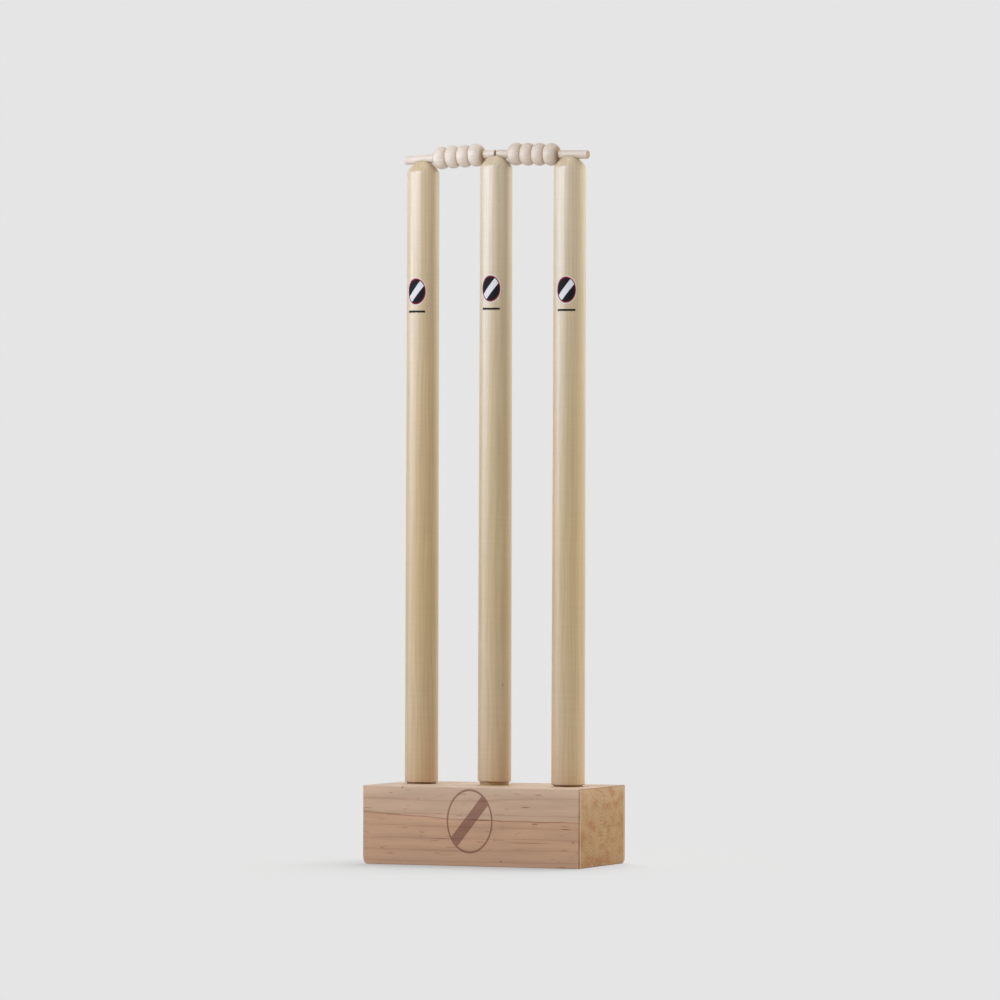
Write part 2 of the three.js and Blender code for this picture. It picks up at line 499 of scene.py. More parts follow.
def add_transfer(tree, axes, colour):
    pale, red, black = linear("#d3d4d9"), linear("#861c28"), linear("#0e0e11")
    shaft_radius = (foot_radius + head_radius) / 2
    edge = 0.6 * MM
    to_front = add(tree, MATH, {0: axes["Y"], 1: -1.0}, operation="MULTIPLY")
    angle = add(tree, MATH, {0: axes["X"], 1: to_front}, operation="ARCTAN2")
    across = add(tree, MATH, {0: angle, 1: shaft_radius}, operation="MULTIPLY")
    up = add(tree, MATH, {0: axes["Z"], 1: transfer_height}, operation="SUBTRACT")
    flat = add(tree, COMBINE_XYZ, {"X": across, "Y": up})
    # Squeezed to the same height as width, the oval is a circle
    squeeze = (1, transfer_half_width / transfer_half_height, 0)
    out = weighted_length(tree, flat, squeeze)
    edge_share = within(tree, out, 0.0, transfer_half_width, edge)
    for inset, paint in ((0, pale), (red_inset, red), (black_inset, black)):
        share = within(tree, out, 0.0, transfer_half_width - inset, edge)
        colour = add(tree, MIX, {0: share, 6: colour, 7: paint}, **lay_over)
    slant = add(tree, VECTOR_MATH, {0: flat, 1: (*across_band, 0)}, operation="DOT_PRODUCT")
    band = within(tree, slant, 0.0, band_half_width, edge)
    inside = within(tree, out, 0.0, transfer_half_width - black_inset, edge)
    banded = add(tree, MATH, {0: band, 1: inside}, operation="MULTIPLY")
    colour = add(tree, MIX, {0: banded, 6: colour, 7: pale}, **lay_over)
    rule_across = within(tree, across, 0.0, rule_half_width, edge)
    rule_up = within(tree, up, -rule_drop, rule_half_height, edge)
    rule = add(tree, MATH, {0: rule_across, 1: rule_up}, operation="MULTIPLY")
    colour = add(tree, MIX, {0: rule, 6: colour, 7: black}, **lay_over)
    printed = add(tree, MATH, {0: edge_share, 1: rule}, operation="MAXIMUM")
    return colour, printed


print(f"the transfer is {2 * transfer_half_width / MM:.1f} by {2 * transfer_half_height / MM:.1f} mm")

# %% [markdown]
# ## Lacquered ash
# The stumps are ash, turned, sanded and sprayed with a clear lacquer. Ash is pale, with growth rings that
# show as long soft streaks on the shaft and as faint arcs on the dome, where the grain is cut across.
# Here the rings are solid, as in a tree: they lie round a pith some way outside the stump, so the shaft
# and the dome cut the same rings and agree with each other. The lacquer is a clear coat, rough enough to
# spread a lamp into a broad sheen. The base tone is paler towards the head, a painted highlight for the
# sheen that whitens the heads, and warmer towards the foot. A pin knot or two shows as a dark speck, and
# the neck under the shaft is darkened with painted shade where it goes into the block.


# %% Lacquered ash
def lacquered_ash(name, start, turn, pith, tone, neck_shade, knots):
    material, tree, wood = new_material(name)
    place = add(tree, "ShaderNodeTexCoord")
    stand = {"Location": start, "Rotation": (0, 0, math.radians(turn))}
    centred = add(tree, MAPPING, {"Vector": place.outputs["Object"], **stand}, vector_type="TEXTURE")
    axes = add(tree, SEPARATE_XYZ, {0: centred}).outputs

    # The base tone, from the neck at 0 to the head at 1, painted paler towards the head as a painted
    # highlight
    share = add(tree, MAP_RANGE, {"Value": axes["Z"], "From Min": tenon_length, "From Max": full_head_base})
    low_tones = [(0, "#d0b693"), (0.13, "#cbb490"), (0.32, "#c6af87")]
    high_tones = [(0.55, "#c4af8b"), (0.8, "#c3b296"), (1, "#c8b9a2")]
    colour = ramp(tree, share, low_tones + high_tones)
    colour = add(tree, MIX, {0: 1.0, 6: colour, 7: linear(tone)}, **deepen)

    # Growth rings, fibre streaks and slow patches of colour. Real fibres are finer than any pixel here,
    # so they are drawn about ten times too wide.
    pith_line = (pith[0] * MM, pith[1] * MM, 0)
    ring = rings_about(
        tree, centred, pith_line, width=4.2 * MM, bend=3.0 * MM, bend_width=20 * MM, stretch=(1, 1, 0.12)
    )
    year_tones = [(0, "#fbf8f2"), (0.2, "#f3efe6"), (0.55, "#ffffff"), (1, "#fbf8f2")]
    ring_tone = ramp(tree, ring, year_tones, "B_SPLINE")
    colour = add(tree, MIX, {0: 1.0, 6: colour, 7: ring_tone}, **deepen)
    fibre = streaks(tree, centred, 2.4 * MM, (1, 1, 0.035), 0.97, 1.03)
    patch = streaks(tree, centred, 6 * MM, (1, 1, 0.06), 0.965, 1.035, detail=1)
    turning_marks = streaks(tree, centred, 1.6 * MM, (0.04, 0.04, 1), 0.978, 1.022)
    for level in (fibre, patch, turning_marks):
        colour = add(tree, VECTOR_MATH, {0: colour, "Scale": level}, operation="SCALE")

    # End grain, where the dome cuts the fibres across: deeper in colour, as it soaks up the lacquer
    facing = add(tree, SEPARATE_XYZ, {0: place.outputs["Normal"]}).outputs
    end_grain = add(tree, MAP_RANGE, {"Value": facing["Z"], "From Min": 0.25, "From Max": 0.75}, **smooth)
    colour = add(tree, MIX, {0: end_grain, 6: colour, 7: linear("#fffaf0")}, **deepen)

    # Pin knots: (angle round the shaft, height, radius), each drawn out along the fibres
    for degrees, height, radius in knots:
        angle = math.radians(degrees)
        centre = Vector((foot_radius * math.sin(angle), -foot_radius * math.cos(angle), height * MM))
        from_knot = add(tree, VECTOR_MATH, {0: centred, 1: centre}, operation="SUBTRACT")
        apart = weighted_length(tree, from_knot, (1, 1, 0.4))
        knot = within(tree, apart, 0.0, radius * MM, 1.6 * radius * MM)
        colour = add(tree, MIX, {0: knot, 6: colour, 7: linear("#a48a72")}, **deepen)

    # Painted shade on the neck and tenon, below the shoulder where it goes into the block
    fade_start, fade_end = tenon_length - 0.2 * MM, tenon_length + 0.9 * MM
    fade = {"From Min": fade_start, "From Max": fade_end, "To Min": 1.0, "To Max": 0.0}
    neck = add(tree, MAP_RANGE, {"Value": axes["Z"], **fade}, **smooth)
    colour = add(tree, MIX, {0: neck, 6: colour, 7: linear(neck_shade)}, **lay_over)

    colour, printed = add_transfer(tree, axes, colour)
    # The ink lies on the lacquer and is matt, so the coat stops at its edge
    coat = add(tree, MAP_RANGE, {"Value": printed, "To Min": 1.0, "To Max": 0.0})
    rough = add(tree, MAP_RANGE, {"Value": printed, "To Min": 0.56, "To Max": 0.9})
    pores = add(tree, "ShaderNodeBump", {"Strength": 0.3, "Distance": 0.3 * MM, "Height": fibre})
    # Wood is full of air, so it throws back less than the solid lacquer over it
    link(tree, wood, {"Base Color": colour, "Roughness": rough, "IOR": 1.3, "Normal": pores})
    link(tree, wood, {"Coat Weight": coat, "Coat Roughness": 0.38, "Coat IOR": 1.5})
    return material


# %% [markdown]
# ## A stump
# Each stump is one turning: a tenon that drops into the block, a narrow neck, a long shaft that tapers by
# barely a millimetre, and a domed head. The outline is drawn as a turner would mark it. The groove isn't
# turned, it is filed across afterwards, so in the tree it comes last: each point of the head is pressed
# down to a round-bottomed channel where that lies lower. A smooth minimum does the pressing, and rounds
# the groove's lips as sandpaper does.


# %% The stump's outline
def stump_outline(head_base):
    foot_steps, rim_steps, dome_steps = 6, 5, 76
    rim_reach = 2.0 * MM
    points = [
        (0, 0),
        (tenon_radius - tenon_chamfer, 0),
        (tenon_radius, tenon_chamfer),
        (tenon_radius, tenon_length),
    ]
    for step in range(foot_steps + 1):
        angle = math.pi / 2 * step / foot_steps
        radius = foot_radius - foot_round * (1 - math.sin(angle))
        points.append((radius, tenon_length + foot_round * (1 - math.cos(angle))))
    below = Vector((head_radius, head_base - rim_reach))
    corner = Vector((head_radius, head_base))
    inner = head_radius - rim_reach
    above = Vector((inner, head_base + dome_height(inner)))
    for step in range(rim_steps + 1):
        share = step / rim_steps
        points.append(tuple(below.lerp(corner, share).lerp(corner.lerp(above, share), share)))
    for step in range(1, dome_steps + 1):
        radius = inner * (1 - step / dome_steps)
        points.append((radius, head_base + dome_height(radius)))
    return points


print("outline points of a stump:", len(stump_outline(full_head_base)))

# %% The stump's tree
lip_softness = 0.9 * MM


def stump_tree():
    sizes = ["Groove Radius", "Groove Floor", "Lip Softness"]
    tree, given = new_tree("turned_stump", ["Sides"], sizes, ["Finish"])
    spun = add(
        tree, "GeometryNodeGroup", {"Geometry": given["Geometry"], "Sides": given["Sides"]}, node_tree=lathe
    )
    place = add(tree, "GeometryNodeInputPosition")
    axes = add(tree, SEPARATE_XYZ, {0: place}).outputs
    radius_squared = add(tree, MATH, {0: given["Groove Radius"], 1: 2.0}, operation="POWER")
    across = add(tree, MATH, {0: axes["Y"], 1: axes["Y"]}, operation="MULTIPLY")
    under_root = add(tree, MATH, {0: radius_squared, 1: across}, operation="SUBTRACT")
    not_below = add(tree, MATH, {0: under_root, 1: 0.0}, operation="MAXIMUM")
    drop = add(tree, MATH, {0: not_below}, operation="SQRT")
    centre = add(tree, MATH, {0: given["Groove Floor"], 1: given["Groove Radius"]}, operation="ADD")
    channel = add(tree, MATH, {0: centre, 1: drop}, operation="SUBTRACT")
    pressed = add(tree, MATH, {0: axes["Z"], 1: channel, 2: given["Lip Softness"]}, operation="SMOOTH_MIN")
    point = add(tree, COMBINE_XYZ, {"X": axes["X"], "Y": axes["Y"], "Z": pressed})
    filed = add(tree, "GeometryNodeSetPosition", {"Geometry": spun, "Position": point})
    whole = add(tree, "GeometryNodeRealizeInstances", {0: filed})
    finished = add(tree, "GeometryNodeSetMaterial", {"Geometry": whole, "Material": given["Finish"]})
    end_tree(tree, finished)
    return tree


filed_turning = stump_tree()
print("stump tree:", len(filed_turning.nodes), "nodes")

# %% Turn the three stumps
# Each stump stands on its own socket's floor, the middle one a little higher. The left one is a little
# shorter than the others, and each is turned in its socket by a few degrees, as they are in the
# photograph.
stump_sides = 256
stump_crease = math.radians(40)
# (steps along the row, rise, shortfall, turn in degrees, place of the pith in mm, tone, painted neck shade)
stumps = {
    "left": (-1, 0, left_stump_shortfall, -3, (58, 21), "#fffaf1", "#925f2c"),
    "middle": (0, middle_stump_rise, 0, 2.5, (47, -36), "#ffffff", "#a9834c"),
    "right": (1, 0, 0, 9, (66, 9), "#fdfcfa", "#855426"),
}
# Pin knots, as (degrees round from the front, height, radius), in millimetres
pin_knots = {"left": [], "middle": [(29, 709.8, 0.6), (49, 161.8, 0.5)], "right": [(-76.5, 176.1, 0.7)]}
for side, (step, rise, shortfall, turn, pith, tone, neck_shade) in stumps.items():
    start = (step * stump_pitch, 0, base_top - socket_depth + rise)
    head_base = full_head_base - shortfall
    finish = lacquered_ash(f"lacquered_ash_{side}", start, turn, pith, tone, neck_shade, pin_knots[side])
    turning = shape_from(
        outline_object("stump_outline", [stump_outline(head_base)]),
        filed_turning,
        {
            "Sides": stump_sides,
            "Groove Radius": groove_radius,
            "Groove Floor": head_base + groove_floor_rise,
            "Lip Softness": lip_softness,
            "Finish": finish,
        },
    )
    turning.transform(Matrix.Translation(start))
    turning.shade_smooth()
    turning.set_sharp_from_angle(angle=stump_crease)
    finish_piece(f"turned_stump_{side}", turning, f"stump_{side}", f"{side}_stump")

# %% [markdown]
# ## Sanded maple
# The bails are a paler, pinker wood than the stumps, sanded and hardly lacquered, so they shine little.
# Their grain is so fine that only faint lines along the bail show. The cut ends are browner and darker,
# and the valleys between the beads are darkened with painted shade, where the beads shade each other.


# %% Sanded maple
def sanded_maple(name, start, tilt, half_turn, drift, tone):
    valley_radius = arc_offset + crown_radius * math.cos(valley_angle)
    middle_of_run = (first_crown + last_crown) / 2
    material, tree, wood = new_material(name)
    place = add(tree, "ShaderNodeTexCoord")
    stand = {"Location": start, "Rotation": (0, tilt, half_turn)}
    centred = add(tree, MAPPING, {"Vector": place.outputs["Object"], **stand}, vector_type="TEXTURE")
    moved = add(tree, MAPPING, {"Vector": centred, "Location": (drift, 0, 0)})
    axes = add(tree, SEPARATE_XYZ, {0: centred}).outputs

    fibre = streaks(tree, moved, 1.1 * MM, (0.05, 1, 1), 0.0, 1.0)
    pale = ramp(tree, fibre, [(0, "#cfc0b0"), (0.5, "#d8cabd"), (1, "#dfd3c7")])
    colour = add(tree, MIX, {0: 1.0, 6: pale, 7: linear(tone)}, **deepen)
    patch = streaks(tree, moved, 9 * MM, (0.4, 1, 1), 0.97, 1.03)
    colour = add(tree, VECTOR_MATH, {0: colour, "Scale": patch}, operation="SCALE")

    # End grain, on the two end faces and where a bead's side is cut steeply
    facing = add(
        tree, "ShaderNodeVectorRotate", {0: place.outputs["Normal"], "Angle": -tilt}, rotation_type="Y_AXIS"
    )
    lengthwise = add(tree, SEPARATE_XYZ, {0: facing}).outputs
    along_axis = add(tree, MATH, {0: lengthwise["X"]}, operation="ABSOLUTE")
    end_grain = add(tree, MAP_RANGE, {"Value": along_axis, "From Min": 0.55, "From Max": 0.98}, **smooth)
    colour = add(tree, MIX, {0: end_grain, 6: colour, 7: linear("#d3bd9e")}, **deepen)

    # Painted shade in the valleys between the beads
    radius = weighted_length(tree, centred, (0, 1, 1))
    low = within(tree, radius, valley_radius, 0.35 * MM, 0.7 * MM)
    in_run = within(tree, axes["X"], middle_of_run, bead_pitch * (bead_count - 1) / 2, 2 * MM)
    valley_shade = add(tree, MATH, {0: low, 1: in_run}, operation="MULTIPLY")
    colour = add(tree, MIX, {0: valley_shade, 6: colour, 7: linear("#d8c2aa")}, **deepen)

    bump = add(tree, "ShaderNodeBump", {"Strength": 0.3, "Distance": 0.02 * MM, "Height": fibre})
    link(tree, wood, {"Base Color": colour, "Roughness": 0.55, "IOR": 1.5, "Normal": bump})
    return material


# %% [markdown]
# ## A bail
# A bail is a short spigot, a run of four round beads and a long spigot. Every bead has the same outline,
# one arc from valley to valley, so the tree makes that arc once, repeats it on the points of a line, adds
# the two longer arcs where the run ends, and spins the lot on the lathe. The two spigots come in as the
# helper's own curve.


# %% The bail's tree
def bail_tree():
    counts = ["Sides", "Arc Steps", "Bead Count"]
    sizes = ["Bead Pitch", "Crown Radius", "Arc Offset", "First Crown", "Last Crown"]
    angles = ["Valley Angle", "End Angle"]
    tree, given = new_tree("turned_bail", counts, sizes + angles, ["Finish"])
    whole_sweep = add(tree, MATH, {0: given["Valley Angle"], 1: 2.0}, operation="MULTIPLY")
    minus_valley = add(tree, MATH, {0: given["Valley Angle"], 1: -1.0}, operation="MULTIPLY")
    minus_end = add(tree, MATH, {0: given["End Angle"], 1: -1.0}, operation="MULTIPLY")
    end_sweep = add(tree, MATH, {0: given["End Angle"], 1: given["Valley Angle"]}, operation="SUBTRACT")
    first_place = add(tree, COMBINE_XYZ, {"X": given["Arc Offset"], "Y": given["First Crown"]})
    last_place = add(tree, COMBINE_XYZ, {"X": given["Arc Offset"], "Y": given["Last Crown"]})
    pitch_step = add(tree, COMBINE_XYZ, {"Y": given["Bead Pitch"]})

    arcs = {}
    for part, start, sweep in (
        ("bead", minus_valley, whole_sweep),
        ("first", minus_end, end_sweep),
        ("last", given["Valley Angle"], end_sweep),
    ):
        circle = {"Resolution": given["Arc Steps"], "Radius": given["Crown Radius"]}
        span = {"Start Angle": start, "Sweep Angle": sweep}
        arcs[part] = add(tree, "GeometryNodeCurveArc", {**circle, **span}, mode="RADIUS")
    row = {"Count": given["Bead Count"], "Start Location": first_place, "Offset": pitch_step}
    line = add(tree, "GeometryNodeMeshLine", row, mode="OFFSET")
    beads = add(tree, "GeometryNodeInstanceOnPoints", {"Points": line, "Instance": arcs["bead"]})
    first_end = add(tree, "GeometryNodeTransform", {"Geometry": arcs["first"], "Translation": first_place})
    last_end = add(tree, "GeometryNodeTransform", {"Geometry": arcs["last"], "Translation": last_place})
    joined = add(tree, "GeometryNodeJoinGeometry")
    for piece in (last_end, beads, first_end, given["Geometry"]):
        link(tree, joined, {0: piece})
    real = add(tree, "GeometryNodeRealizeInstances", {0: joined})
    spun = add(tree, "GeometryNodeGroup", {"Geometry": real, "Sides": given["Sides"]}, node_tree=lathe)
    finished = add(tree, "GeometryNodeSetMaterial", {"Geometry": spun, "Material": given["Finish"]})
    end_tree(tree, finished)
    return tree


beaded_turning = bail_tree()
print("bail tree:", len(beaded_turning.nodes), "nodes")

# %% Turn the two bails
# A bail slopes from the prouder middle stump down to the outer one, the left one by more than the right
# one. Both are placed at the right, and the left one then goes half a turn about the middle stump.
bail_sides = 96
arc_steps = 15
bail_crease = math.radians(35)
seat = base_top - socket_depth + middle_stump_rise + full_head_base + groove_floor_rise


def spigot_run(length):
    end = [(0, 0), (spigot_radius - spigot_chamfer, 0), (spigot_radius, spigot_chamfer)]
    return end + [(spigot_radius, length)]


far_run = [(radius, bail_length - height) for radius, height in reversed(spigot_run(long_spigot))]
spigot_runs = [spigot_run(short_spigot), far_run]

# (turn about the middle stump, how much shorter its outer stump is, how far its grain is moved, tone)
bails = {"left": (math.pi, left_stump_shortfall, 0.3, "#fbfbfa"), "right": (0, 0, 0.1, "#f0eeea")}
for side, (half_turn, shortfall, drift, tone) in bails.items():
    slope = (middle_stump_rise + shortfall) / stump_pitch
    tilt = math.atan(slope)
    axis_height = seat + (bail_seat_gap + spigot_radius) / math.cos(tilt)
    axis_start = Vector((bail_end_gap / 2, 0, axis_height + slope * (groove_reach - bail_end_gap / 2)))
    lie_down = Matrix.Rotation(tilt, 4, "Y") @ Matrix.Rotation(math.pi / 2, 4, "Y")
    swing = Matrix.Rotation(half_turn, 4, "Z")
    finish = sanded_maple(f"sanded_maple_{side}", swing @ axis_start, tilt, half_turn, drift, tone)
    turning = shape_from(
        outline_object("spigot_outlines", spigot_runs),
        beaded_turning,
        {
            "Sides": bail_sides,
            "Arc Steps": arc_steps,
            "Bead Count": bead_count,
            "Bead Pitch": bead_pitch,
            "Crown Radius": crown_radius,
            "Arc Offset": arc_offset,
            "First Crown": first_crown,
            "Last Crown": last_crown,
            "Valley Angle": valley_angle,
            "End Angle": end_angle,
            "Finish": finish,
        },
    )
    turning.transform(swing @ Matrix.Translation(axis_start) @ lie_down)
    turning.shade_smooth()
    turning.set_sharp_from_angle(angle=bail_crease)
    finish_piece(f"turned_bail_{side}", turning, f"bail_{side}", f"{side}_bail")

# %% [markdown]
# ## Planed and oiled hardwood
# The block is a length of a brown-pink hardwood, planed on four sides, sawn at the ends and wiped with
# oil. It was cut below the tree's pith, so one set of rings, drawn about a line that runs along the block
# above it, gives long nearly level lines on the front and smile-shaped arcs on the ends. A darker year
# parts the paler inner wood from the browner outer wood. The ends are more yellow and patchy, where the
# oil soaked in, and the top is painted paler, in patches, as painted light from above.


# %% The block's wood, as it grew
block_pith = Vector((0, 0, 116 * MM))


def grown_hardwood(tree, place, axes):
    """The colour of the solid wood, with its rings and fibres."""
    front = base_low.y
    year_height = 52.4 * MM
    year_reach = math.hypot(front, block_pith.z - year_height)
    year_slope, year_curve = 0.0202, -0.109

    # Reach from the pith, less that of the dark year, which wanders a little along the block
    from_pith = add(tree, MAPPING, {"Vector": place, "Location": -block_pith})
    reach = weighted_length(tree, from_pith, (0, 1, 1))
    bow = add(tree, MATH, {0: axes["X"], 1: year_curve, 2: year_slope}, operation="MULTIPLY_ADD")
    year = add(tree, MATH, {0: bow, 1: axes["X"], 2: year_reach}, operation="MULTIPLY_ADD")
    wander = streaks(tree, place, 9 * MM, (0.25, 1, 1), -0.5 * MM, 0.5 * MM, detail=2)
    wandered = add(tree, MATH, {0: year, 1: wander}, operation="ADD")
    beyond = add(tree, MATH, {0: reach, 1: wandered}, operation="SUBTRACT")
    outer = add(tree, MAP_RANGE, {"Value": beyond, "From Min": -2.0 * MM, "From Max": 1.0 * MM}, **smooth)
    colour = add(tree, MIX, {0: outer, 6: linear("#c8a689"), 7: linear("#c69c79")}, **lay_over)
    dark_year = within(tree, beyond, 0.0, 0.35 * MM, 0.6 * MM)
    fading = streaks(tree, place, 30 * MM, (0.5, 0.5, 0.5), 0.35, 1.0)
    line = add(tree, MATH, {0: dark_year, 1: fading}, operation="MULTIPLY")
    colour = add(tree, MIX, {0: line, 6: colour, 7: linear("#c2a18c")}, **deepen)

    # Ordinary years, then fibres, which are drawn about five times too wide to show from here
    ring = rings_about(
        tree, place, block_pith, width=10 * MM, bend=1.8 * MM, bend_width=12 * MM, stretch=(0.04, 1, 1)
    )
    year_tones = [(0, "#f4f0ee"), (0.05, "#e8dfd9"), (0.13, "#faf8f7"), (0.6, "#ffffff"), (1, "#f7f5f4")]
    ring_tone = ramp(tree, ring, year_tones)
    colour = add(tree, MIX, {0: 1.0, 6: colour, 7: ring_tone}, **deepen)
    fibre = streaks(tree, place, 1.3 * MM, (0.03, 1, 1), 0.955, 1.045, detail=4)
    patch = streaks(tree, place, 9 * MM, (0.12, 1, 1), 0.935, 1.065)
    for level in (fibre, patch):
        colour = add(tree, VECTOR_MATH, {0: colour, "Scale": level}, operation="SCALE")
    return colour, fibre


# %% [markdown]
# Small things make timber look like timber: a pin knot, short dark flecks, and a line where a sanded edge
# has taken up more oil. The flecks of the front are placed one by one, as (along, up, half length, half
# height) in millimetres, and a thresholded noise scatters fainter ones over the other faces.

# %% Flecks, edges and sockets
front_flecks = [
    (-83.2, 87.0, 1.7, 1.1),
    (-108.5, 18.5, 1.6, 0.9),
    (37.1, 6.2, 2.0, 0.9),
    (82.3, 81.6, 5.0, 0.7),
    (66.5, 67.5, 6.5, 0.9),
    (78.0, 48.9, 4.8, 1.1),
    (14.0, 52.0, 13.0, 0.9),
    (115.0, 43.8, 7.0, 0.8),
    (124.0, 29.3, 2.2, 1.0),
    (-35.0, 30.4, 16.0, 0.5),
    (70.0, 27.5, 30.0, 0.5),
]


def fleck_share(tree, place):
    half_depth = 4
    total = 0.0
    for along, up, half_length, half_height in front_flecks:
        size = Vector((half_length, half_depth, half_height)) * MM
        centre = Vector((along * MM, base_low.y, up * MM))
        from_centre = add(tree, VECTOR_MATH, {0: place, 1: centre}, operation="SUBTRACT")
        shares = add(tree, VECTOR_MATH, {0: from_centre, 1: size}, operation="DIVIDE")
        off = add(tree, VECTOR_MATH, {0: shares}, operation="LENGTH")
        fleck = within(tree, off, 0.0, 0.75, 0.9)
        total = add(tree, MATH, {0: fleck, 1: total}, operation="MAXIMUM")
    scattered = streaks(tree, place, 2.4 * MM, (0.14, 1, 1), -10.0, 0.5, detail=1)
    return add(tree, MATH, {0: scattered, 1: total}, operation="MAXIMUM", use_clamp=True)


def edge_depths(tree, place):
    """How deep each point lies behind the front or back, and how far from the nearest edge of an end."""
    middle = (base_low + base_high) / 2
    centred = add(tree, VECTOR_MATH, {0: place, 1: middle}, operation="SUBTRACT")
    folded = add(tree, VECTOR_MATH, {0: centred}, operation="ABSOLUTE")
    depth = add(tree, VECTOR_MATH, {0: (base_high - base_low) / 2, 1: folded}, operation="SUBTRACT")
    depths = add(tree, SEPARATE_XYZ, {0: depth}).outputs
    rim = add(tree, MATH, {0: depths["Y"], 1: depths["Z"]}, operation="MINIMUM")
    edge = add(tree, MATH, {0: depths["X"], 1: rim}, operation="MAXIMUM")
    return depths["Y"], edge


def socket_reach(tree, axes):
    """How far each point lies outside the nearest socket's wall, seen from above."""
    along = add(tree, MATH, {0: axes["X"], 1: stump_pitch / 2, 2: -stump_pitch / 2}, operation="WRAP")
    flat = add(tree, COMBINE_XYZ, {"X": along, "Y": axes["Y"]})
    reach = add(tree, VECTOR_MATH, {0: flat}, operation="LENGTH")
    return add(tree, MATH, {0: reach, 1: tenon_radius + socket_clearance}, operation="SUBTRACT")


print(len(front_flecks), "flecks on the front")

# %% [markdown]
# ## The burnt mark
# The front carries a mark burnt in with a hot iron: a plain upright oval with one slanting band. A burn
# scorches the wood and sinks it, so it darkens the colour and goes into the bump as well.

# %% A burnt oval
burn_half_width = 27.0 * MM
burn_half_height = 35.0 * MM
burn_line = 0.95 * MM
burn_band = 6.2 * MM
burn_edge = 0.7 * MM


def burnt_mark(tree, place, facing):
    centre = Vector((-1 * MM, 0, 50.6 * MM))
    from_centre = add(tree, VECTOR_MATH, {0: place, 1: centre}, operation="SUBTRACT")
    squeeze = (1, 0, burn_half_width / burn_half_height)
    out = weighted_length(tree, from_centre, squeeze)
    outline = within(tree, out, burn_half_width, burn_line, burn_edge)
    over, up = across_band
    slant = add(tree, VECTOR_MATH, {0: from_centre, 1: (over, 0, up)}, operation="DOT_PRODUCT")
    band = within(tree, slant, 0.0, burn_band, burn_edge)
    inside = within(tree, out, 0.0, burn_half_width, burn_edge)
    banded = add(tree, MATH, {0: band, 1: inside}, operation="MULTIPLY")
    drawn = add(tree, MATH, {0: outline, 1: banded}, operation="MAXIMUM")
    to_front = add(tree, MAP_RANGE, {"Value": facing["Y"], "From Min": -0.7, "From Max": -0.95})
    return add(tree, MATH, {0: drawn, 1: to_front}, operation="MULTIPLY")


print(f"the burnt oval is {2 * burn_half_width / MM:.0f} by {2 * burn_half_height / MM:.0f} mm")


